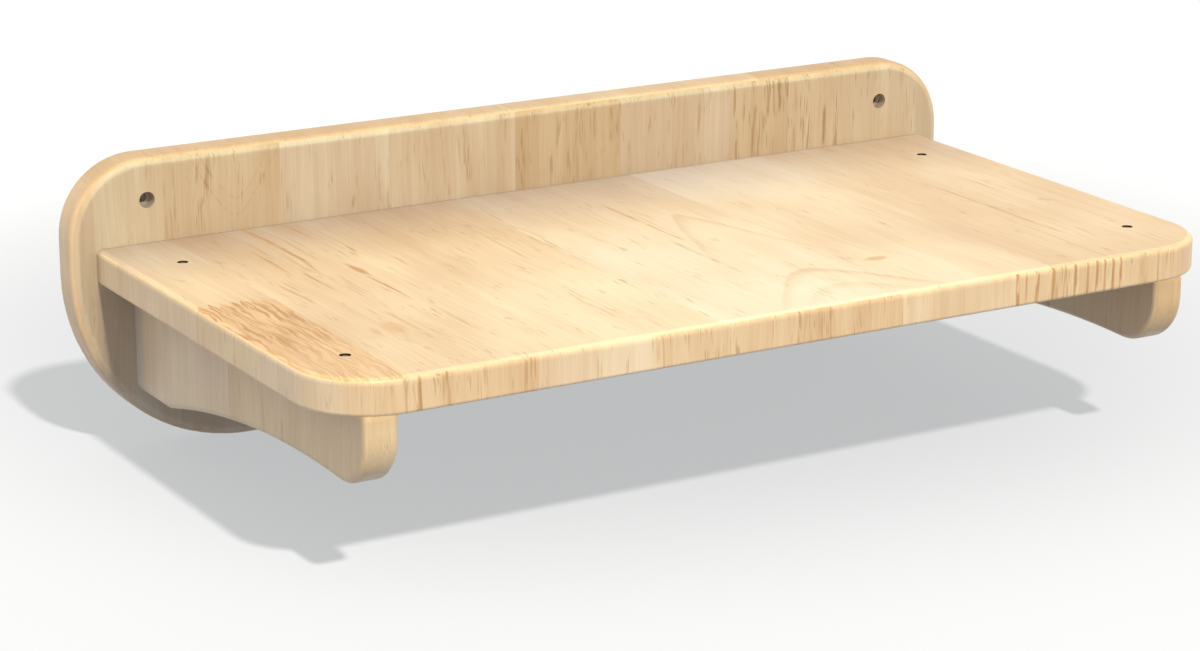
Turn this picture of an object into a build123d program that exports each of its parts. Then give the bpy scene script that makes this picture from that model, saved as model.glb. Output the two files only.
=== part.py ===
from build123d import *
import os

# Cat wall shelf: a back board on the wall, a shelf board and two brackets under it.
# All sizes are in millimetres. The wall is the plane y = 0 and the front looks to -Y.
# The origin is midway between the two wall-screw holes, on the back board's wall side.

# Shelf board
shelf_width = 570
shelf_depth = 300
shelf_thickness = 20
shelf_corner_radius = 43

# Back board, seen past the shelf on both sides, above it and below the brackets
board_thickness = 20
board_overhang = 15
board_rise = 50
board_skirt = 38.5
board_top_radius = 45
board_bottom_radius = 108

# Counterbored holes for the screws into the wall, in line with the brackets
wall_hole_height = 25
wall_hole_radius = 2.75
wall_recess_radius = 4.75
wall_recess_depth = 7

# Brackets: a flat heel at the back board, an arch with its waist near the front, a nose
bracket_thickness = 20
bracket_inset = 22
bracket_setback = 7
heel_height = 66.5
heel_length = 42.5
waist_height = 42.5
waist_share = 0.78
nose_height = 45.5
nose_radius = 30

# Rounding along the edges: fullest around the back board's front, and only eased on its wall
# side and under the shelf. Edges that butt against another board stay sharp.
edge_radius = 4
board_edge_radius = 6
eased_radius = 2
rounding_limit_share = 0.4

# Screws, one kind for all joints: sunk domed head, plain shank, thread and tip
head_radius = 2.4
head_height = 3.2
head_dome = 0.7
head_sink = 0.5
cross_length = 2.8
cross_width = 0.7
cross_depth = 1.4
shank_radius = 1.35
core_radius = 1.15
thread_radius = 1.75
thread_pitch = 1.5
thread_share = 0.6
crest_shares = (0.3, 0.6)
tip_length = 3
bite_share = 0.68

# Holes for these screws
screw_recess_radius = 3.2
shank_clearance = 0.5
thread_clearance = 0.05
tip_clearance = 0.8

# Places of the screws
top_screw_inset = 48
heel_screw_inset = 15
shelf_screw_shares = (-0.3, 0, 0.3)

# Fluted dowels between the back board and the shelf's back edge
dowel_radius = 4
dowel_length = 39
dowel_chamfer = 1
dowel_flutes = 12
flute_radius = 0.45
dowel_clearance = 0.05
dowel_end_clearance = 0.8
dowel_socket_share = 0.6
dowel_shares = (-0.4, 0.4)

# Heights and depths that follow from the sizes above
shelf_top = -wall_hole_height
shelf_bottom = shelf_top - shelf_thickness
shelf_middle = (shelf_top + shelf_bottom) / 2
heel_bottom = shelf_bottom - heel_height
board_top = shelf_top + board_rise
board_bottom = heel_bottom - board_skirt
board_height = board_top - board_bottom
board_width = shelf_width + 2 * board_overhang
board_front = -board_thickness
shelf_front = board_front - shelf_depth
bracket_length = shelf_depth - bracket_setback
bracket_x = shelf_width / 2 - bracket_inset - bracket_thickness / 2

# Every screw bites the same depth into a bracket's waist, so one length serves all joints
recess_depth = head_height + head_sink
top_bite = bite_share * waist_height
screw_length = shelf_thickness - recess_depth + top_bite
rear_bite = screw_length - (board_thickness - recess_depth)
pilot_radius = thread_radius + thread_clearance
passage_radius = thread_radius + shank_clearance

# Where the screws and dowels stand
top_screw_ys = (board_front - top_screw_inset, shelf_front + top_screw_inset)
heel_screw_zs = (shelf_bottom - heel_screw_inset, heel_bottom + heel_screw_inset)
shelf_screw_xs = [share * shelf_width for share in shelf_screw_shares]
dowel_xs = [share * shelf_width for share in dowel_shares]
dowel_socket = dowel_socket_share * board_thickness
dowel_back = board_front + dowel_socket - dowel_end_clearance
dowel_front = dowel_back - dowel_length

# The joint plane is the back board's front face. It is drawn from the shelf's side and,
# like the wall side, also from behind, where X runs the other way.
joint_from_front = Plane.XZ.offset(board_thickness)
joint_from_behind = Plane(origin=(0, board_front, 0), x_dir=(-1, 0, 0), z_dir=(0, 1, 0))
wall_side = joint_from_behind.offset(board_thickness)

os.makedirs("parts", exist_ok=True)


def rounding(thickness, radius=edge_radius):
    """Edge rounding that a board of this thickness can take."""
    return min(radius, rounding_limit_share * thickness)


def rim(board, axis, side):
    """Edges of the face at this end of a board, without those that butt against another board."""
    return board.faces().sort_by(axis)[side].edges() - board.faces().sort_by(Axis.Y)[-1].edges()


def save(piece, name):
    """Label a finished piece and write it to its own file."""
    piece.part.label = name
    export_step(piece.part, f"parts/{name}.step")


def from_behind(xs, zs):
    """Every pair of these places, on a plane that is seen from behind."""
    return [(-x, z) for x in xs for z in zs]


shelf_screw_places = from_behind(shelf_screw_xs, [shelf_middle])
dowel_places = from_behind(dowel_xs, [shelf_middle])
heel_screw_places = from_behind([-bracket_x, bracket_x], heel_screw_zs)

# Back board
board_rounding = rounding(board_thickness, board_edge_radius)
with BuildPart() as back_board:
    with BuildSketch(Plane.XZ) as outline:
        with Locations((0, (board_top + board_bottom) / 2)):
            Rectangle(board_width, board_height)
        fillet(outline.vertices().group_by(Axis.Y)[-1], board_top_radius)
        bottom_corners = outline.vertices().group_by(Axis.Y)[0]
        fillet(bottom_corners, min(board_bottom_radius, board_height - board_top_radius - board_rounding))
    extrude(amount=board_thickness)
    fillet(rim(back_board, Axis.Y, 0), board_rounding)
    fillet(back_board.faces().sort_by(Axis.Y)[-1].edges(), rounding(board_thickness, eased_radius))
    with Locations(joint_from_front):
        with Locations((-bracket_x, 0), (bracket_x, 0)):
            CounterBoreHole(wall_hole_radius, wall_recess_radius, wall_recess_depth)
    with Locations(wall_side):
        with Locations(*shelf_screw_places, *heel_screw_places):
            CounterBoreHole(passage_radius, screw_recess_radius, recess_depth)
    with BuildSketch(joint_from_behind):
        with Locations(*dowel_places):
            Circle(dowel_radius + dowel_clearance)
    extrude(amount=dowel_socket, mode=Mode.SUBTRACT)
save(back_board, "back_board")

# Shelf board
with BuildPart() as shelf_board:
    with BuildSketch(Plane.XY.offset(shelf_bottom)) as outline:
        with Locations((0, (board_front + shelf_front) / 2)):
            Rectangle(shelf_width, shelf_depth)
        fillet(outline.vertices().group_by(Axis.Y)[0], shelf_corner_radius)
    extrude(amount=shelf_thickness)
    fillet(rim(shelf_board, Axis.Z, -1), rounding(shelf_thickness))
    fillet(rim(shelf_board, Axis.Z, 0), rounding(shelf_thickness, eased_radius))
    with Locations(Plane.XY.offset(shelf_top)):
        with Locations(*[(x, y) for x in (-bracket_x, bracket_x) for y in top_screw_ys]):
            CounterBoreHole(passage_radius, screw_recess_radius, recess_depth)
    with Locations(joint_from_behind):
        with Locations(*shelf_screw_places):
            Hole(pilot_radius, rear_bite + tip_clearance)
        with Locations(*dowel_places):
            Hole(dowel_radius + dowel_clearance, board_front - dowel_front + dowel_end_clearance)
save(shelf_board, "shelf_board")

# Brackets: the same shape on both sides, drawn from the back board towards the front
for side, x in (("left", -bracket_x), ("right", bracket_x)):
    left_face = Plane(
        origin=(x - bracket_thickness / 2, board_front, shelf_bottom),
        x_dir=(0, 1, 0),
        z_dir=(1, 0, 0),
    )
    with BuildPart() as bracket:
        with BuildSketch(left_face):
            with BuildLine():
                Polyline(
                    (-heel_length, -heel_height),
                    (0, -heel_height),
                    (0, 0),
                    (-bracket_length, 0),
                    (-bracket_length, -nose_height),
                )
                ThreePointArc(
                    (-bracket_length, -nose_height),
                    (-waist_share * bracket_length, -waist_height),
                    (-heel_length, -heel_height),
                )
            make_face()
        extrude(amount=bracket_thickness)
        nose_edge = bracket.edges().filter_by(Axis.X).group_by(Axis.Y)[0].sort_by(Axis.Z)[0]
        fillet(nose_edge, min(nose_radius, nose_height - 2 * rounding(bracket_thickness)))
        nose = bracket.faces().filter_by(GeomType.CYLINDER).sort_by(Axis.Y)[0]
        seams = nose.edges().filter_by(Axis.X)
        butt_edges = bracket.faces().sort_by(Axis.Y)[-1].edges()
        fillet(bracket.edges() - seams - butt_edges, rounding(bracket_thickness))
        with Locations(Plane.XY.offset(shelf_bottom)):
            with Locations(*[(x, y) for y in top_screw_ys]):
                Hole(pilot_radius, top_bite + tip_clearance)
        with Locations(joint_from_behind):
            with Locations(*from_behind([x], heel_screw_zs)):
                Hole(pilot_radius, rear_bite + tip_clearance)
    save(bracket, f"{side}_bracket")

# One screw, standing on its head's seat at z = 0 with the tip down
tip_start = tip_length - screw_length
thread_turns = round(thread_share * screw_length / thread_pitch)
thread_start = tip_start + thread_turns * thread_pitch
thread_points = [(shank_radius, 0), (shank_radius, thread_start), (core_radius, thread_start)]
for turn in range(thread_turns):
    turn_top = thread_start - turn * thread_pitch
    thread_points += [
        (thread_radius, turn_top - crest_shares[0] * thread_pitch),
        (core_radius, turn_top - crest_shares[1] * thread_pitch),
        (core_radius, turn_top - thread_pitch),
    ]
with BuildPart() as screw:
    with BuildSketch(Plane.XZ):
        with BuildLine():
            TangentArc((0, head_height), (head_radius, head_height - head_dome), tangent=(1, 0))
            Polyline(
                (head_radius, head_height - head_dome),
                (head_radius, 0),
                *thread_points,
                (0, -screw_length),
                (0, head_height),
            )
        make_face()
    revolve(axis=Axis.Z)
    with BuildSketch(Plane.XY.offset(head_height)):
        Rectangle(cross_length, cross_width)
        Rectangle(cross_width, cross_length)
    extrude(amount=-cross_depth, mode=Mode.SUBTRACT)

# Screws down through the shelf into the brackets, and from behind into the brackets
for side, x in (("left", -bracket_x), ("right", bracket_x)):
    with BuildPart() as top_screws:
        with Locations(Plane.XY.offset(shelf_top - recess_depth)):
            with Locations(*[(x, y) for y in top_screw_ys]):
                add(screw.part)
    save(top_screws, f"{side}_top_screws")
    with BuildPart() as rear_screws:
        with Locations(wall_side.offset(-recess_depth)):
            with Locations(*from_behind([x], heel_screw_zs)):
                add(screw.part)
    save(rear_screws, f"{side}_rear_screws")

# Screws from behind into the shelf's back edge
with BuildPart() as shelf_rear_screws:
    with Locations(wall_side.offset(-recess_depth)):
        with Locations(*shelf_screw_places):
            add(screw.part)
save(shelf_rear_screws, "shelf_rear_screws")

# One dowel, lying down from z = 0, with flutes for the glue and chamfered ends
with BuildPart() as dowel:
    with BuildSketch():
        Circle(dowel_radius)
        with PolarLocations(dowel_radius, dowel_flutes):
            Circle(flute_radius, mode=Mode.SUBTRACT)
    extrude(amount=-dowel_length)
    with BuildSketch(Plane.XZ):
        with BuildLine():
            Polyline(
                (0, 0),
                (dowel_radius - dowel_chamfer, 0),
                (dowel_radius, -dowel_chamfer),
                (dowel_radius, dowel_chamfer - dowel_length),
                (dowel_radius - dowel_chamfer, -dowel_length),
                (0, -dowel_length),
                close=True,
            )
        make_face()
    revolve(axis=Axis.Z, mode=Mode.INTERSECT)

# The dowels, half hidden in the back board and half in the shelf
with BuildPart() as shelf_dowels:
    with Locations(joint_from_behind.offset(dowel_back - board_front)):
        with Locations(*dowel_places):
            add(dowel.part)
save(shelf_dowels, "shelf_dowels")
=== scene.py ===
import math

import bpy
from mathutils import Euler, Matrix, Vector


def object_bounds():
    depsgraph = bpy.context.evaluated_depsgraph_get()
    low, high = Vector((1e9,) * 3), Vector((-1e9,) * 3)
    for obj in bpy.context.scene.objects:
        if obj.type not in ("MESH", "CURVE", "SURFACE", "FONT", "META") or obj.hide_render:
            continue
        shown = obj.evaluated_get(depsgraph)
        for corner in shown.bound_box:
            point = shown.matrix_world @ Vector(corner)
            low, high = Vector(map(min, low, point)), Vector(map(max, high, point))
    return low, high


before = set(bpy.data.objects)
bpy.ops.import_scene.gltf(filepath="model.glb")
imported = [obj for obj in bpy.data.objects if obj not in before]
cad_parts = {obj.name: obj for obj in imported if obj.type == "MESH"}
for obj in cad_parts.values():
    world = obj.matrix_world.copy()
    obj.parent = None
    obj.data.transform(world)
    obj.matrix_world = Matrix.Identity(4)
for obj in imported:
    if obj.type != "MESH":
        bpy.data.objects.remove(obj)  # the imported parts, in metres: Z up, the wall at y = 0, the front to -Y
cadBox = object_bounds()
print("parts loaded:", ", ".join(sorted(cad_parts)))

bpy.context.scene.view_settings.view_transform = "Standard"

mm = 0.001


class Wire:  # one output of a node, ready to be used in a sum
    def __init__(self, book, socket):
        self.book = book
        self.socket = socket

    def __add__(self, other):
        return self.book.maths("ADD", self, other)

    def __radd__(self, other):
        return self.book.maths("ADD", other, self)

    def __sub__(self, other):
        return self.book.maths("SUBTRACT", self, other)

    def __rsub__(self, other):
        return self.book.maths("SUBTRACT", other, self)

    def __mul__(self, other):
        return self.book.maths("MULTIPLY", self, other)

    def __truediv__(self, other):
        return self.book.maths("DIVIDE", self, other)

    def __abs__(self):
        return self.book.maths("ABSOLUTE", self)


class NodeBook:  # the node tree of a material or a world, emptied and ready to be filled
    def __init__(self, owner):
        self.owner = owner
        owner.use_nodes = True
        self.tree = owner.node_tree
        self.tree.nodes.clear()

    def node(self, kind, settings=None, values=None, output=0):
        made = self.tree.nodes.new("ShaderNode" + kind)
        for name, value in (settings or {}).items():
            if name == "stops":
                ramp = made.color_ramp
                while len(ramp.elements) < len(value):
                    ramp.elements.new(1)
                for element, (place, colour) in zip(ramp.elements, value):
                    element.position = place
                    element.color = (*colour, 1)
            elif name == "steps":
                made.color_ramp.interpolation = value
            else:
                setattr(made, name, value)
        for name, value in (values or {}).items():
            if isinstance(value, Wire):
                self.tree.links.new(value.socket, made.inputs[name])
            else:
                made.inputs[name].default_value = value
        return Wire(self, made.outputs[output] if made.outputs else None)

    def maths(self, operation, *values):
        return self.node("Math", {"operation": operation}, dict(enumerate(values)))

    def step(self, value, low, high):  # 0 at low, 1 at high, smooth between them
        settings = {"interpolation_type": "SMOOTHSTEP"}
        return self.node("MapRange", settings, {"Value": value, "From Min": low, "From Max": high})

    def above(self, value, limit):
        return self.maths("GREATER_THAN", value, limit)

    def length(self, first, second):
        return self.maths("SQRT", first * first + second * second)

    def point(self, x, y, z):
        return self.node("CombineXYZ", None, {"X": x, "Y": y, "Z": z})

    def parts(self, kind, value):  # every output of a node that takes a vector or colour apart
        made = self.node(kind, None, {0: value}).socket.node
        return [Wire(self, output) for output in made.outputs]

    def scaled(self, vector, scale):
        return self.node("VectorMath", {"operation": "SCALE"}, {0: vector, "Scale": scale})

    def noise(self, vector, detail):
        values = {"Vector": vector, "Scale": 1, "Detail": detail}
        return self.node("TexNoise", None, values)

    def mix(self, share, first, second, way="MIX"):
        settings = {"data_type": "RGBA", "blend_type": way}
        return self.node("Mix", settings, {0: share, 6: first, 7: second}, 2)

    def dress(self, shader, ending="OutputMaterial"):
        self.node(ending, None, {"Surface": shader})
        return self.owner


def colour(red, green, blue):
    return (red, green, blue, 1)


def paintNodes(material, *names):
    for name in names:
        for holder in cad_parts[name].material_slots:
            holder.material = material


boardFront = -20  # in mm, where the back board ends and the shelf and the brackets begin

# Wood of the boards, all sizes in mm. The grain stands upright on the faces that look to the
# front, back and sides, and runs from back to front on those that look up and down.
woodLook = {
    "toneRange": (-0.5, 1.5),
    "paints": [  # share of the way through that range, and the wood's colour there
        (0, (0.92, 0.78, 0.54)),
        (0.25, (0.85, 0.68, 0.44)),
        (0.475, (0.75, 0.55, 0.335)),
        (0.75, (0.65, 0.435, 0.24)),
        (1, (0.54, 0.30, 0.13)),
    ],
    "poreBrown": (0.37, 0.21, 0.09),
    "greyTint": (0.965, 0.985, 1.09),  # of the staves that are more grey than yellow
    "roughness": 0.46,
    "rougher": (0.14, 0.12, 0.05),  # by fibres, pores and streaks
    "gloss": 0.38,
    "coat": 0.12,
    "coatRoughness": 0.3,
    "relief": 0.07,
    "reliefStrength": 0.22,
    "reliefShares": (0.5, 0.4, 0.6, 0.15),  # of raised fibres and stripes, sunk pores and streaks
}

# How the grain bends, and how far apart the staves lie in the noise, so that none share a figure
grainLook = {
    "waviness": 8,
    "bends": (45, 85, 60),  # their size across the grain, along it and into the wood
    "staveApart": 900,
    "topApart": 77,
    "sideApart": 33,
    "calmed": ("band", "stripe"),  # these layers are fainter on the top and on the sides
    "calmTop": 0.4,
    "calmSide": 0.5,
    "fineWidth": 10,  # narrower layers have more detail
}

# Layers of the grain: width across it, length along it and depth of tone
grainLayers = {
    "cloud": (75, 95, 0.8),
    "blotch": (28, 60, 0.4),
    "band": (15, 150, 0.8),
    "stripe": (3.4, 80, 0.6),
    "fibre": (0.8, 45, 0.6),
}

# Brown streaks and pores: width, length and detail, and from where to where in the noise they
# show. They crowd in some places, more so in staves that are rich in them.
streakLook = {
    "grain": (1.45, 32, 1),
    "edge": (0.51, 0.67),
    "crowd": (10, 50, 1),
    "crowdEdge": (0.62, 0.74),
    "crowdGain": (0.29, 0.29),
    "strength": (0.8, 0.35),  # gained with the stave's share, and at least
    "full": 1.3,  # the strength that is painted in full
    "share": 0.9,
}
poreLook = {
    "grain": (0.7, 12, 0),
    "edge": (0.56, 0.70),
    "crowd": (6, 24, 1),
    "crowdEdge": (0.62, 0.80),
    "crowdGain": (0.22, 0.24),
    "share": 0.5,
}

# Lines and knots that are drawn into the wood
lineLook = {
    "archStart": (-2.5, 1),  # where a growth line sets in, from its turning point
    "spotFade": (1.1, 0.4),  # shares of a knot's size between which it sets in
    "streakCore": 0.2,  # how far from its middle a streak is full
    "streakFade": 5,  # how far around its ends it fades
    "longStreakFade": 12,
    "edgeCore": 0.3,
    "streakBroken": (0.65, 0.35),  # what shows where it isn't broken, beside what always shows
    "archBroken": (0.5, 0.5),
    "edgeBroken": (0.66, 0.18),
}

# What breaks them: width, length and detail of a noise, and from where to where in it they show
gapLooks = {
    "arch": ((1.3, 26, 1), (0.34, 0.56)),
    "streak": ((1.6, 12, 1), (0.32, 0.54)),
    "edge": ((2.2, 16, 1), (0.36, 0.56)),
}

# Shares of a face's normal along one axis, between which one look fades into the next
faceLook = {
    "edgeRound": (0.3, 0.7),  # from an edge to its rounding
    "broadRound": (0.999, 0.96),  # from a broad face to its rounding
    "broad": (0.7, 0.99),  # from an edge's tint to the broad face's
    "sideways": (0.4, 0.9),  # from an edge's tint to that on the left and right
    "turned": (0.02, 0.25),  # from a rounding's tint to that on the left and right
}

# The staves that the boards are glued from: where each starts across the board, in mm from
# the middle (on the sides: from the wall), then its depth of tone, its share of brown streaks
# and pores, and of greyness
staveSpan = 700
frontStaves = [
    (-350, 0.37, 0.10, 0.0),
    (-245, 0.58, 0.36, 0.0),
    (-170, 0.30, 0.26, 0.7),
    (-100, 0.42, 0.30, 0.4),
    (-15, 0.71, 0.50, 0.0),
    (60, 0.50, 0.30, 0.7),
    (140, 0.56, 0.66, 0.0),
    (182, 0.50, 0.62, 0.0),
    (220, 0.44, 0.34, 0.1),
    (252, 0.48, 0.30, 0.0),
]
edgeStaves = [
    (-350, 0.34, 0.12, 0.0),
    (-245, 0.44, 0.50, 0.0),
    (-168, 0.18, 0.26, 0.7),
    (-100, 0.34, 0.34, 0.1),
    (-10, 0.50, 0.50, 0.0),
    (60, 0.20, 0.12, 0.4),
    (135, 0.46, 0.55, 0.0),
    (180, 0.44, 0.42, 0.0),
    (222, 0.46, 0.35, 0.1),
]
topStaves = [
    (-350, 0.38, 0.12, 0.0),
    (-241.5, 0.46, 0.30, 0.0),
    (-160, 0.46, 0.20, 0.0),
    (-60, 0.26, 0.14, 0.5),
    (66, 0.28, 0.10, 0.3),
    (160, 0.50, 0.20, 0.1),
]
sideStaves = [
    (-350, 0.36, 0.12, 0.5),
    (-240, 0.36, 0.16, 0.0),
    (-163, 0.38, 0.05, 0.4),
    (-50, 0.34, 0.05, 0.4),
]
bracketStaves = [
    (-350, 0.44, 0.08, 0.0),
    (-240, 0.49, 0.08, 0.0),
    (-150, 0.36, 0.06, 0.8),
    (-60, 0.28, 0.04, 1.0),
]
noseStaves = [
    (-350, 0.36, 0.08, 0.0),
    (0, 0.76, 0.08, 0.0),
]

# Streaks in the upright faces: how far across, lowest and highest point, width and strength.
# Those of the shelf and the brackets lie in their left and right sides.
boardStreaks = [
    (-243, -25, 10, 1.5, 0.5),
    (-237, -22, 18, 1.6, 0.6),
    (-221, 2, 22, 1.8, 0.7),
    (-104, -22, 4, 2.6, 0.5),
    (-74, -20, 12, 1.6, 0.4),
    (-62, -18, 14, 1.6, 0.5),
    (-48, -6, 20, 1.8, 0.6),
    (-44, -16, 2, 1.5, 0.4),
    (-7, -25, 8, 1.8, 0.5),
    (16, -4, 16, 1.6, 0.7),
    (30, -24, -6, 1.6, 0.5),
    (42, 0, 20, 1.6, 0.7),
    (54, -2, 22, 2.0, 0.9),
    (59, -12, 16, 1.4, 0.6),
    (67, -25, -4, 1.8, 0.7),
    (94, -6, 12, 1.6, 0.6),
    (116, -10, 16, 1.8, 0.6),
    (145, -25, 0, 2.0, 0.9),
    (150, 0, 20, 1.6, 0.6),
    (157, -24, -2, 2.0, 0.9),
    (168, 0, 22, 2.2, 1.0),
    (177, 2, 22, 2.4, 1.2),
    (188, 2, 20, 1.6, 0.6),
    (211, -25, 2, 2.4, 1.1),
    (281, -8, 6, 1.6, 0.5),
]
shelfStreaks = [(-160, -50, -20, 2.0, 0.6)]
bracketStreaks = [
    (-61, -100, -70, 1.8, 0.3),
    (-190, -88, -62, 1.8, 0.5),
    (-203, -70, -50, 1.6, 0.4),
    (-214, -90, -74, 2.2, 0.8),
    (-269, -88, -76, 1.8, 0.5),
]

# What sets one board's wood apart from the next: the axis that its thickness lies along, tints
# for its broad faces, its edges and those on the left and right (partly the wood's own colour
# and partly painted light and shade), tints and a change of tone that paint a highlight on its
# roundings, then its staves, those of its sides, its streaks and their colour
boardLooks = {
    "back_board": {
        "axis": 1,
        # its broad faces are tinted darker than the shelf's: painted shade
        "tint": (0.74, 0.785, 0.85),
        "edgeTint": (0.80, 0.735, 0.65),
        "sideTint": (1.0, 0.935, 0.86),
        "paintedHighlight": (1.07, 1.14, 1.10),
        "sidePaintedHighlight": (1.13, 1.06, 0.99),
        "paintedHighlightTone": 0.26,
        "staves": frontStaves,
        "sideStaves": sideStaves,
        "marks": boardStreaks,
        "streakBrown": (0.45, 0.262, 0.103),
    },
    "shelf_board": {
        "axis": 2,
        "tint": (1.0, 1.0, 1.0),
        "edgeTint": (1.05, 1.01, 0.95),
        "sideTint": (1.10, 1.08, 1.04),
        "paintedHighlight": (1.02, 1.03, 0.99),
        "sidePaintedHighlight": (1.14, 1.10, 1.02),
        "paintedHighlightTone": 0.22,
        "staves": edgeStaves,
        "sideStaves": sideStaves,
        "marks": shelfStreaks,
        "streakBrown": (0.51, 0.275, 0.105),
    },
    "left_bracket": {
        "axis": 0,
        "tint": (0.93, 0.94, 0.95),
        "edgeTint": (1.07, 1.08, 1.02),
        "sideTint": (1.07, 1.08, 1.02),
        "paintedHighlight": (1.03, 1.0, 0.97),
        "sidePaintedHighlight": (1.03, 1.0, 0.97),
        "paintedHighlightTone": 0.1,
        "staves": noseStaves,
        "sideStaves": bracketStaves,
        "marks": bracketStreaks,
        "streakBrown": (0.51, 0.275, 0.105),
    },
}
# The right bracket is tinted darker than the left: painted shade
boardLooks["right_bracket"] = {**boardLooks["left_bracket"], "tint": (0.86, 0.875, 0.90)}

# The shelf's own figure, measured from its back edge and from its middle
figureLook = {
    "lowest": -35,  # its top lies higher than this
    "patchEdge": -241.5,  # the stave's end with finger joints, at the front left
    "patchSoft": 2,
    "patchBack": 133,
    "patchTooth": 10,
    "patchPitch": 6.2,
    "patchTint": (1.0, 0.88, 0.76),
    "patchStreak": (0.49, 0.265, 0.09),
    "patchShare": 0.9,
    "patchWaviness": 9,
    "patchSwing": (13, 24, 3, 2),  # its noises: width, length, slice and detail
    "patchLines": (1.7, 38, 5, 2),
    "patchGaps": (9, 34, 8, 1),
    "lineEdge": (0.42, 0.60),  # from where to where in the noise they show
    "gapEdge": (0.22, 0.46),
    "patchFade": (205, 250),  # paler from here to there, by this share
    "patchFadeShare": 0.5,
    "patchTone": 0.12,
    "paleMiddle": -35,  # a painted pool of light at the front
    "paleFront": 285,
    "paleWidth": 212,
    "paleDepth": 245,
    "paleEdge": (1.0, 0.1),
    "paleTone": 0.6,
    "hazeEdge": 66,  # pale too, at the back, and grey
    "hazeEnds": (280, 150),
    "hazeDepths": (170, 30),
    "hazeTone": 0.45,
    "hazeGrey": 0.7,
    "shadeDepths": (108, -15),  # painted shade along the back board, less so on the right
    "shadeTint": (0.63, 0.665, 0.83),
    "shadeRight": (40, 150),
    "shadeLess": 0.22,
    "jointShadowWidth": 3.5,  # the thin painted contact shadow along the joint itself
    "jointShadowTint": (0.74, 0.72, 0.70),
    "archMiddle": 38,
    "archTone": 0.5,
    "archFade": 60,
    "knotOrange": (0.68, 0.40, 0.18),
    "knotShare": 0.6,
}

# Growth lines in the shelf's top: steepness, roundness, turning point, softness, strength, end
arches = [
    (3.4, 20, 97, 26, 0.8, 225),
    (1.7, 34, 234, 15, 1.2, 320),
    (1.5, 40, 268, 16, 1.0, 320),
]

# Its knots: x, distance from the back edge, width, length and strength
knots = [
    (-210, 220, 8, 13, 1.0),
    (-176, 112, 4, 10, 1.4),
    (87, 236, 9, 5, 1.3),
]

# Long brown streaks in the shelf's top: x, where each starts and ends, width and strength
longStreaks = [
    (-226, 112, 158, 1.5, 0.8),
    (-211, 45, 100, 1.7, 0.9),
    (-204, 102, 140, 1.8, 1.2),
    (-206, 182, 196, 1.6, 0.8),
    (-199, 190, 232, 1.4, 0.7),
    (-194, 0, 100, 2.2, 1.3),
    (-219, 0, 44, 1.5, 0.9),
    (-206, 22, 66, 1.3, 0.7),
    (-200, 56, 98, 1.4, 0.9),
    (-181, 0, 60, 1.3, 0.7),
    (-186, 30, 90, 1.4, 0.7),
    (-176, 98, 124, 2.4, 1.6),
    (-177, 124, 176, 1.7, 1.2),
    (-172, 190, 236, 1.7, 1.1),
    (-169, 240, 262, 1.5, 0.9),
    (-169, 0, 34, 1.7, 1.1),
    (-158, 0, 76, 2.2, 0.5),
    (-83, 24, 140, 2.4, 0.6),
    (-55, 38, 140, 2.0, 0.8),
    (13, 55, 150, 1.7, 0.9),
    (17, 90, 140, 1.4, 0.6),
    (5, 150, 224, 1.8, 0.7),
    (152, 62, 94, 1.8, 0.6),
    (202, 200, 300, 2.0, 0.5),
    (212, 112, 242, 2.0, 0.9),
    (240, 112, 148, 1.7, 0.8),
]

# Those in its front edge: x, width and strength
edgeStreaks = [
    (-243, 1.6, 0.8),
    (-235, 1.4, 0.9),
    (-219, 1.6, 0.8),
    (-197, 1.2, 0.6),
    (-171, 1.6, 0.9),
    (-7, 1.8, 1.0),
    (0, 1.2, 0.7),
    (8, 1.4, 0.9),
    (14, 1.2, 0.8),
    (38, 1.6, 0.8),
    (137, 2.1, 1.6),
    (143, 1.3, 1.0),
    (151, 2.0, 1.6),
    (162, 1.7, 1.3),
    (170, 1.2, 0.9),
    (177, 2.0, 1.6),
    (186, 1.3, 1.0),
    (193, 1.8, 1.4),
    (199, 1.4, 1.1),
    (205, 2.0, 1.7),
    (211, 1.8, 1.5),
    (229, 1.3, 0.8),
    (238, 1.6, 1.1),
]

# A curl in the back board's grain: its middle, steepness and roundness, the heights where its
# lines turn, their softness, where they end at the top, how much they bend and their strength
curlLook = {
    "middle": -198,
    "lean": 1.7,
    "round": 12,
    "lines": (-16, -6),
    "soft": 2.5,
    "tops": (28, 24),
    "bend": 0.5,
    "strength": 0.5,
}

# Holes in the boards, painted darker inside: places, radii and paint. The shelf's screw
# recesses are painted near black, a painted shade; the wall holes are painted grey
boreLook = {
    "x": 253,
    "rim": (0.3, 0.1),  # how far around a hole its paint fades
    "topYs": (-68, -272),
    "topRadius": 3.2,
    "topHeights": (-25, -25.3),
    # near black in the shelf's screw recesses: painted shade
    "topPaint": (0.03, 0.018, 0.01),
    "topShare": 1,
    "wallRadius": 4.75,
    "wallDepths": (-20, -19.4),
    "wallPaint": (0.39, 0.355, 0.32),
    "wallShare": 0.75,
}

# Painted shade in corners: on the sides near the back board, and on the back board under the shelf
paintedShadeLook = {
    "shelf": (8, (0.62, 0.68, 0.76)),  # how far from the back board, and its tint
    "bracket": (18, (0.75, 0.86, 1.04)),
    "under": (0.80, 0.81, 0.88),  # painted shade tint of the back board's front, under the shelf
    "underHeights": (-44, -52),
    "underHalf": (288, 282),  # how far to the left and right
    "underFront": -10,  # it lies in front of this depth
    "underCalm": 0.7,  # how much fainter its streaks are
}


def staveRamp(book, across, staves):
    stops = [((start + staveSpan / 2) / staveSpan, values) for start, *values in staves]
    share = across / staveSpan + 0.5
    return book.node("ValToRGB", {"steps": "CONSTANT", "stops": stops}, {"Fac": share})


def arch(book, aside, height, lean, curve, top, soft):  # a growth line that turns in a point
    slope = aside * lean
    level = height - book.length(slope, curve) + curve
    low, high = lineLook["archStart"]
    return book.step(level, top + low, top + high) * book.step(level, top + soft, top)


def spot(book, aside, apart, width, length):
    return book.step(book.length(aside / width, apart / length), *lineLook["spotFade"])


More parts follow.
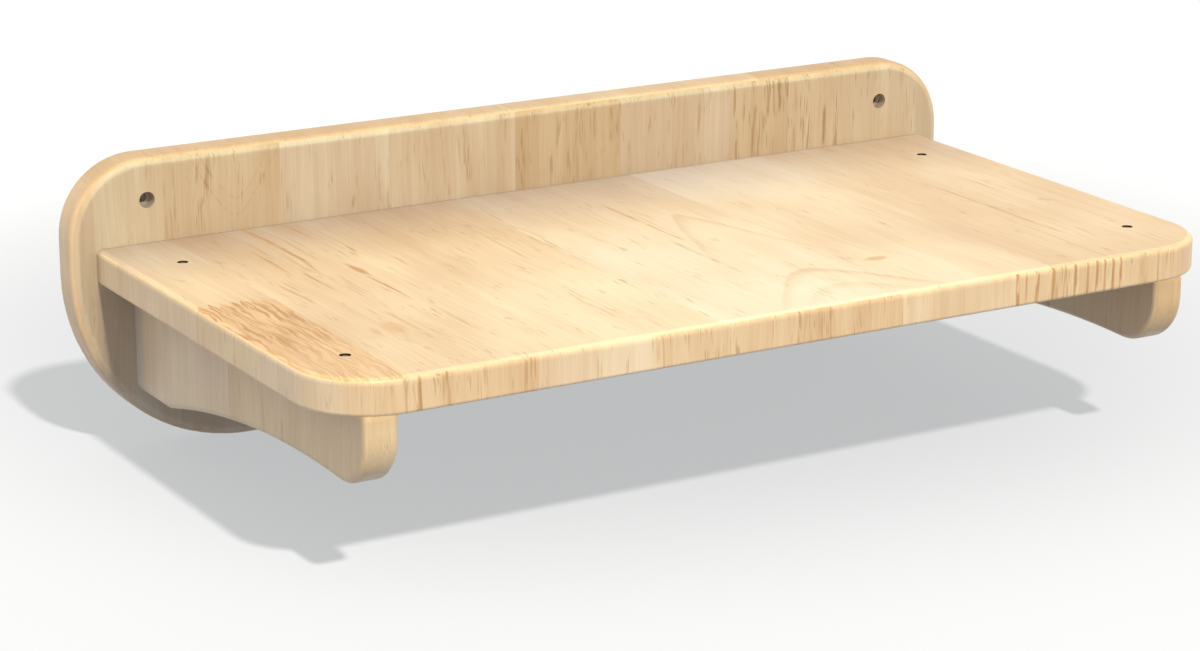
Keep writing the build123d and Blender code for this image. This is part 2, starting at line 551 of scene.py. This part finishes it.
def drawnStreaks(book, across, along, streaks, fade):
    marks = 0
    for middle, start, end, width, strength in streaks:
        line = book.step(abs(across - middle), width, lineLook["streakCore"])
        starts = book.step(along, start - fade, start + fade)
        ends = book.step(along, end + fade, end - fade)
        marks = marks + line * (starts * ends) * strength
    return marks


def partly(marks, shares):  # some of each mark, and a rest that always stays
    gained, least = shares
    return marks * gained + least


class Grain:  # where a point lies in the wood of its board, and noise stretched along it
    def __init__(self, book, staves, sides):
        look = grainLook
        self.book = book
        place = book.node("TexCoord", None, None, "Object")
        self.x, self.y, self.z = [part / mm for part in book.parts("SeparateXYZ", place)]
        self.behind = boardFront - self.y  # how far in front of the back board
        normal = book.node("NewGeometry", None, None, "Normal")
        self.facing = [abs(part) for part in book.parts("SeparateXYZ", normal)]
        facingX, facingY, facingZ = self.facing
        self.onTop = book.above(facingZ, book.maths("MAXIMUM", facingX, facingY))
        self.onSide = book.above(facingX, facingY) * (1 - self.onTop)
        self.onFront = 1 - self.onTop - self.onSide

        across = self.x + (self.y - self.x) * self.onSide
        self.along = self.z + (self.y - self.z) * self.onTop
        depth = self.x * self.onSide + self.y * self.onFront + self.z * self.onTop
        wide, tall, deep = look["bends"]
        bends = book.noise(book.point(across / wide, self.along / tall, depth / deep), 1)
        self.bent = across + (bends - 0.5) * look["waviness"]

        front, top = staveRamp(book, self.x, staves), staveRamp(book, self.x, topStaves)
        tables = book.mix(self.onTop, front, top)
        tables = book.mix(self.onSide, tables, staveRamp(book, self.y, sides))
        self.tone, self.streaky, self.grey = book.parts("SeparateColor", tables)
        depth = depth + self.tone * look["staveApart"]
        self.depth = depth + self.onTop * look["topApart"] + self.onSide * look["sideApart"]

    def cells(self, width, length, detail):
        book = self.book
        place = book.point(self.bent / width, self.along / length, self.depth / width)
        return book.noise(place, detail)

    def crowded(self, look):  # streaks or pores
        step = self.book.step
        low, high = look["crowdEdge"]
        lowGain, highGain = look["crowdGain"]
        low, high = low - self.streaky * lowGain, high - self.streaky * highGain
        marks = step(self.cells(*look["grain"]), *look["edge"])
        return marks * step(self.cells(*look["crowd"]), low, high)

    def unbroken(self, kind):  # 0 where a drawn line is broken
        size, edge = gapLooks[kind]
        return self.book.step(self.cells(*size), *edge)


def shelfTop(book, grain, tone, streaks):  # the marks that are seen on the shelf's top
    look = figureLook
    behind = grain.behind
    upper = grain.onTop * book.above(grain.z, look["lowest"])

    def figure(across, name):
        width, length, layer, detail = look[name]
        return book.noise(book.point(across / width, behind / length, layer), detail)

    toothShare = book.maths("FRACT", grain.x / look["patchPitch"])
    teeth = abs(toothShare - 0.5) * (2 * look["patchTooth"])
    edge, soft = look["patchEdge"], look["patchSoft"]
    inPatch = book.above(behind, look["patchBack"] + teeth)
    patch = inPatch * book.step(grain.x, edge + soft, edge - soft) * upper
    curly = grain.x + (figure(grain.x, "patchSwing") - 0.5) * look["patchWaviness"]
    lines = book.step(figure(curly, "patchLines"), *look["lineEdge"])
    gaps = book.step(figure(curly, "patchGaps"), *look["gapEdge"])
    fade = 1 - book.step(behind, *look["patchFade"]) * look["patchFadeShare"]
    patchStreaks = lines * gaps * fade * patch

    # A painted pool of light on the front of the shelf's top
    fromPale = (grain.x - look["paleMiddle"]) / look["paleWidth"]
    fromFront = (behind - look["paleFront"]) / look["paleDepth"]
    lightPool = book.step(book.length(fromPale, fromFront), *look["paleEdge"])
    haze = book.above(grain.x, look["hazeEdge"]) * book.step(grain.x, *look["hazeEnds"])
    haze = haze * book.step(behind, *look["hazeDepths"])

    unbroken = grain.unbroken("arch")
    aside = grain.bent - look["archMiddle"]
    growth = 0
    for lean, curve, top, soft, strength, end in arches:
        line = arch(book, aside, behind, lean, curve, top, soft)
        growth = growth + line * book.step(behind, end, end - look["archFade"]) * strength
    growth = growth * partly(unbroken, lineLook["archBroken"])
    spots = 0
    for middle, depth, width, length, strength in knots:
        found = spot(book, grain.bent - middle, behind - depth, width, length)
        spots = spots + found * strength
    marks = drawnStreaks(book, grain.bent, behind, longStreaks, lineLook["longStreakFade"])

    change = growth * look["archTone"] - lightPool * look["paleTone"] - haze * look["hazeTone"]
    tone = tone + change * upper - patch * (1 - fade) * look["patchTone"]
    edgeMarks = 0
    for middle, width, strength in edgeStreaks:
        line = book.step(abs(grain.bent - middle), width, lineLook["edgeCore"])
        edgeMarks = edgeMarks + line * strength
    edgeMarks = edgeMarks * partly(grain.unbroken("edge"), lineLook["edgeBroken"])
    streaks = streaks * (1 - patch) + marks * unbroken * upper + edgeMarks * grain.onFront
    # Painted shade on the shelf's top along the back board
    shade = book.step(behind, *look["shadeDepths"]) * upper
    shade = shade * (1 - book.step(grain.x, *look["shadeRight"]) * look["shadeLess"])
    # A thin painted contact shadow where the top meets the back board
    jointShadow = book.step(behind, look["jointShadowWidth"], 0) * upper
    return tone, streaks, patch, patchStreaks, spots * upper, shade, jointShadow, haze * upper


def boardCurl(book, grain):  # lines in the back board's front, one inside the other
    look = curlLook
    aside = grain.x - look["middle"] + (grain.bent - grain.x) * look["bend"]
    curl = 0
    for turn in look["lines"]:
        line = arch(book, aside, grain.z, look["lean"], look["round"], turn, look["soft"])
        curl = curl + line
    top, full = look["tops"]
    curl = curl * book.step(grain.z, top, full) * grain.onFront
    return curl * grain.unbroken("arch") * look["strength"]


def bore(book, ring, radius, inside):  # the wall of a drilled hole
    outer, inner = boreLook["rim"]
    return book.step(ring, radius + outer, radius + inner) * inside


def boardWood(board):
    book = NodeBook(bpy.data.materials.new(board + "Wood"))
    look = woodLook
    boardLook = boardLooks[board]
    isShelf = board == "shelf_board"
    isBack = board == "back_board"
    grain = Grain(book, boardLook["staves"], boardLook["sideStaves"])

    def tinted(share, paint, tint):
        return book.mix(share, paint, colour(*tint), "MULTIPLY")

    layers = {}
    tone = grain.tone
    calm = 1 - grain.onTop * grainLook["calmTop"] - grain.onSide * grainLook["calmSide"]
    for name, (width, length, depth) in grainLayers.items():
        detail = 2 if width < grainLook["fineWidth"] else 1
        layers[name] = grain.cells(width, length, detail) - 0.5
        amount = layers[name] * depth
        tone = tone + (amount * calm if name in grainLook["calmed"] else amount)
    flatness = grain.facing[boardLook["axis"]]  # 1 on a broad face, 0 on an edge
    # The roundings are painted paler and brighter than the faces beside them: a painted highlight
    onRounding = book.step(flatness, *faceLook["edgeRound"])
    onRounding = onRounding * book.step(flatness, *faceLook["broadRound"])
    tone = tone - onRounding * boardLook["paintedHighlightTone"]

    streaks = grain.crowded(streakLook) * partly(grain.streaky, streakLook["strength"])
    pores = grain.crowded(poreLook)
    marks = drawnStreaks(book, grain.bent, grain.z, boardLook["marks"], lineLook["streakFade"])
    marks = marks * (grain.onFront if isBack else grain.onSide)
    streaks = streaks + marks * partly(grain.unbroken("streak"), lineLook["streakBroken"])

    if isShelf:
        found = shelfTop(book, grain, tone, streaks)
        tone, streaks, patch, patchStreaks, spots, shade, jointShadow, haze = found
    if isBack:
        # Painted shade on the back board's front under the shelf
        low = book.step(grain.z, *paintedShadeLook["underHeights"])
        low = low * book.above(paintedShadeLook["underFront"], grain.y)
        low = low * book.step(abs(grain.x), *paintedShadeLook["underHalf"])
        streaks = streaks * (1 - low * paintedShadeLook["underCalm"]) + boardCurl(book, grain)
        onRounding = onRounding * (1 - low)

    lowest, highest = look["toneRange"]
    share = (tone - lowest) / (highest - lowest)
    paint = book.node("ValToRGB", {"stops": look["paints"]}, {"Fac": share})
    if isShelf:
        figure = figureLook
        paint = tinted(patch, paint, figure["patchTint"])
        patchStreaks = patchStreaks * figure["patchShare"]
        paint = book.mix(patchStreaks, paint, colour(*figure["patchStreak"]))
        paint = book.mix(spots * figure["knotShare"], paint, colour(*figure["knotOrange"]))
        # Painted shade along the back board
        paint = tinted(shade, paint, figure["shadeTint"])
        # Painted contact shadow along the joint
        paint = tinted(jointShadow, paint, figure["jointShadowTint"])
    share = book.step(streaks, 0, streakLook["full"]) * streakLook["share"]
    paint = book.mix(share, paint, colour(*boardLook["streakBrown"]))
    paint = book.mix(pores * poreLook["share"], paint, colour(*look["poreBrown"]))

    # Tints by which way a face looks; the back board's darker broad faces are painted shade
    onBroad = book.step(flatness, *faceLook["broad"])
    sideways = book.step(grain.facing[0], *faceLook["sideways"])
    edgeTint = book.mix(sideways, colour(*boardLook["edgeTint"]), colour(*boardLook["sideTint"]))
    tint = book.mix(onBroad, edgeTint, colour(*boardLook["tint"]))
    paint = book.mix(1, paint, tint, "MULTIPLY")
    # Painted highlight on the roundings, turning to the side's tint on the left and right
    turned = book.step(grain.facing[0], *faceLook["turned"])
    paintedHighlight = book.mix(turned, colour(*boardLook["paintedHighlight"]), colour(*boardLook["sidePaintedHighlight"]))
    paint = book.mix(onRounding, paint, paintedHighlight, "MULTIPLY")
    grey = grain.grey + haze * figureLook["hazeGrey"] if isShelf else grain.grey
    paint = tinted(grey, paint, look["greyTint"])
    # Painted shade: the back board's front under the shelf, and the sides near the back board
    if isBack:
        paint = tinted(low, paint, paintedShadeLook["under"])
    else:
        reach, cornerShadeTint = paintedShadeLook["shelf" if isShelf else "bracket"]
        paint = tinted(book.step(grain.behind, reach, 0) * grain.onSide, paint, cornerShadeTint)

    coat = look["coat"]
    if isShelf or isBack:
        fromX = abs(grain.x) - boreLook["x"]
        if isShelf:
            kind = "top"
            fromRear, fromFront = [abs(grain.y - y) for y in boreLook["topYs"]]
            ring = book.length(fromX, book.maths("MINIMUM", fromRear, fromFront))
            inside = book.step(grain.z, *boreLook["topHeights"])
        else:
            kind = "wall"
            ring = book.length(fromX, grain.z)
            inside = book.step(grain.y, *boreLook["wallDepths"])
        # The screw recesses' near-black paint is painted shade; the wall holes are painted grey
        darkenedHole = bore(book, ring, boreLook[kind + "Radius"], inside)
        share = darkenedHole * boreLook[kind + "Share"]
        paint = book.mix(share, paint, colour(*boreLook[kind + "Paint"]))
        coat = (1 - darkenedHole) * coat

    fibre, stripe = layers["fibre"], layers["stripe"]
    byFibre, byPores, byStreaks = look["rougher"]
    roughness = look["roughness"] + fibre * byFibre + pores * byPores + streaks * byStreaks
    ofFibre, ofStripe, ofPores, ofStreaks = look["reliefShares"]
    relief = fibre * ofFibre + stripe * ofStripe - pores * ofPores
    relief = relief - book.maths("MINIMUM", streaks, 1) * ofStreaks
    values = {
        "Strength": look["reliefStrength"],
        "Distance": look["relief"] * mm,
        "Height": relief,
    }
    shader = book.node(
        "BsdfPrincipled",
        None,
        {
            "Base Color": paint,
            "Roughness": roughness,
            "Normal": book.node("Bump", None, values),
            "Specular IOR Level": look["gloss"],
            "Coat Weight": coat,
            "Coat Roughness": look["coatRoughness"],
        },
    )
    return book.dress(shader)


for board in boardLooks:
    paintNodes(boardWood(board), board)
print("wood put on the boards")

dowelLook = {
    "paints": [(0.35, (0.78, 0.61, 0.41)), (0.7, (0.62, 0.44, 0.26))],
    "grain": (0.7, 22, 3),  # width, length and detail
    "roughness": 0.6,
    "relief": 0.08,
    "reliefStrength": 0.3,
}


def dowelWood():
    book = NodeBook(bpy.data.materials.new("dowelWood"))
    look = dowelLook
    width, length, detail = look["grain"]
    place = book.node("TexCoord", None, None, "Object")
    x, y, z = [part / mm for part in book.parts("SeparateXYZ", place)]
    fibre = book.noise(book.point(x / width, y / length, z / width), detail)
    values = {
        "Strength": look["reliefStrength"],
        "Distance": look["relief"] * mm,
        "Height": fibre,
    }
    shader = book.node(
        "BsdfPrincipled",
        None,
        {
            "Base Color": book.node("ValToRGB", {"stops": look["paints"]}, {"Fac": fibre}),
            "Roughness": look["roughness"],
            "Normal": book.node("Bump", None, values),
        },
    )
    return book.dress(shader)


paintNodes(dowelWood(), "shelf_dowels")

# Zinc-plated screws, dull in places
steelLook = {
    "paints": [(0.3, (0.52, 0.47, 0.39)), (0.7, (0.78, 0.73, 0.63))],
    "gritScale": 1400,  # spots per metre
    "gritDetail": 3,
    "metallic": 0.6,
    "roughness": 0.42,
    "rougher": 0.2,
}


def screwSteel():
    book = NodeBook(bpy.data.materials.new("screwSteel"))
    look = steelLook
    place = book.node("TexCoord", None, None, "Object")
    fine = book.scaled(place, look["gritScale"])
    grit = book.noise(fine, look["gritDetail"])
    shader = book.node(
        "BsdfPrincipled",
        None,
        {
            "Base Color": book.node("ValToRGB", {"stops": look["paints"]}, {"Fac": grit}),
            "Metallic": look["metallic"],
            "Roughness": look["roughness"] + grit * look["rougher"],
        },
    )
    return book.dress(shader)


paintNodes(screwSteel(), *[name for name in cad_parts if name.endswith("screws")])
print("steel put on the screws")

# The plain studio, in metres: a pale floor, its own glow, the sky and the suns
roomLook = {
    "floorSize": 60,
    "floorGap": 0.0004,  # under the back board's lowest edge
    "floorNear": (0.090, 0.090, 0.090),  # darker around the object's shadow: painted shade
    "floorFar": (0.154, 0.154, 0.154),
    "floorMiddle": (0.12, 0.10),
    "floorReach": (0.24, 0.60),
    "floorRoughness": 0.9,
    "floorGloss": 0.1,
    "cloudScale": 3,
    "cloudDetail": 2,
    "cloudShare": 0.05,
    # The floor's glow stands in for light on it, and is weaker near the object: painted shade
    "glowNear": (0.494, 0.503, 0.511),
    "glowFar": (0.60, 0.60, 0.60),
    "glowMiddleY": -0.1,
    "glowHalves": (0.30, 0.25),  # of the object's outline on the floor
    "glowReach": (0, 0.8),
    "skyColour": (0.845, 0.843, 0.81),
    "groundColour": (0.26, 0.29, 0.37),
    "horizon": (-0.1, 0.1),
    "sunColour": (1.0, 0.915, 0.76),
    "sunStrength": 2.0,
    "sunAngle": 3.0,
    "sunFrom": (-0.073, -0.693, 0.717),
    "floorSunStrength": 7.6,
    "floorSunColour": (1.0, 1.0, 1.0),
}


def floorPaint():
    book = NodeBook(bpy.data.materials.new("paleFloor"))
    look = roomLook
    place = book.node("TexCoord", None, None, "Object")
    x, y, _ = book.parts("SeparateXYZ", place)
    cloud = book.noise(book.scaled(place, look["cloudScale"]), look["cloudDetail"])
    middleX, middleY = look["floorMiddle"]
    # Darker around the object's shadow and a weaker glow near the object: painted shade
    outwards = book.step(book.length(x - middleX, y - middleY), *look["floorReach"])
    share = outwards + (cloud - 0.5) * look["cloudShare"]
    halfX, halfY = look["glowHalves"]
    beside = book.maths("MAXIMUM", abs(x) - halfX, 0)
    before = book.maths("MAXIMUM", abs(y - look["glowMiddleY"]) - halfY, 0)
    away = book.step(book.length(beside, before), *look["glowReach"])
    values = {
        "Base Color": book.mix(share, colour(*look["floorNear"]), colour(*look["floorFar"])),
        "Roughness": look["floorRoughness"],
        "Specular IOR Level": look["floorGloss"],
        "Emission Color": book.mix(away, colour(*look["glowNear"]), colour(*look["glowFar"])),
        "Emission Strength": 1,
    }
    return book.dress(book.node("BsdfPrincipled", None, values))


bpy.ops.object.select_all(action="DESELECT")
floorHeight = cadBox[0].z - roomLook["floorGap"]
bpy.ops.mesh.primitive_plane_add(size=roomLook["floorSize"], location=(0, 0, floorHeight))
floor = bpy.context.object
floor.name = "floor"
floor.data.materials.append(floorPaint())
floor.visible_diffuse = False  # its light reaches the object from the world's lower half


def studioWorld():
    book = NodeBook(bpy.data.worlds.new("studio"))
    direction = book.node("TexCoord", None, None, "Generated")
    height = book.parts("SeparateXYZ", direction)[2]
    ground, sky = colour(*roomLook["groundColour"]), colour(*roomLook["skyColour"])
    paint = book.mix(book.step(height, *roomLook["horizon"]), ground, sky)
    return book.dress(book.node("Background", None, {"Color": paint}), "OutputWorld")


bpy.context.scene.world = studioWorld()


def addSun(strength, tint):
    bpy.ops.object.light_add(type="SUN")
    sun = bpy.context.object
    sun.rotation_euler = Vector(roomLook["sunFrom"]).to_track_quat("Z", "Y").to_euler()
    sun.data.energy = strength
    sun.data.angle = math.radians(roomLook["sunAngle"])
    sun.data.color = tint
    return sun.light_linking


def group(name, members):
    made = bpy.data.collections.new(name)
    for member in members:
        made.objects.link(member)
    return made


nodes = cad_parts
brackets = [nodes["left_bracket"], nodes["right_bracket"]]
others = [floor] + [node for node in nodes.values() if node not in brackets]
shades = [node for name, node in nodes.items() if name != "shelf_board"]

sun = addSun(roomLook["sunStrength"], roomLook["sunColour"])
sun.receiver_collection = group("sunLit", others)
# The brackets' own sun passes the shelf by, so that its lip leaves no dark line on their noses
bracketSun = addSun(roomLook["sunStrength"], roomLook["sunColour"])
bracketSun.receiver_collection = group("bracketSunLit", brackets)
bracketSun.blocker_collection = group("bracketSunShades", shades)
# The floor's own sun, for its clear shadow
floorSun = addSun(roomLook["floorSunStrength"], roomLook["floorSunColour"])
floorSun.receiver_collection = group("floorSunLit", [floor])

cameraLook = {
    "target": (0.0219, -0.0606, -0.1051),
    "distance": 2.0525,
    "azimuth": -30.483,
    "elevation": 16.612,
    "roll": 0.11,
    "lens": 101.5,
    "sensor": 36,
}
tilt = math.radians(90 - cameraLook["elevation"])
turn = Euler((tilt, 0, math.radians(cameraLook["azimuth"]))).to_matrix()
turn = turn @ Matrix.Rotation(math.radians(cameraLook["roll"]), 3, "Z")
place = Vector(cameraLook["target"]) + turn @ Vector((0, 0, cameraLook["distance"]))
bpy.ops.object.camera_add(location=place, rotation=turn.to_euler())
camera = bpy.context.object
camera.data.lens = cameraLook["lens"]
camera.data.sensor_width = cameraLook["sensor"]
bpy.context.scene.camera = camera
print("floor, lights and camera in place")
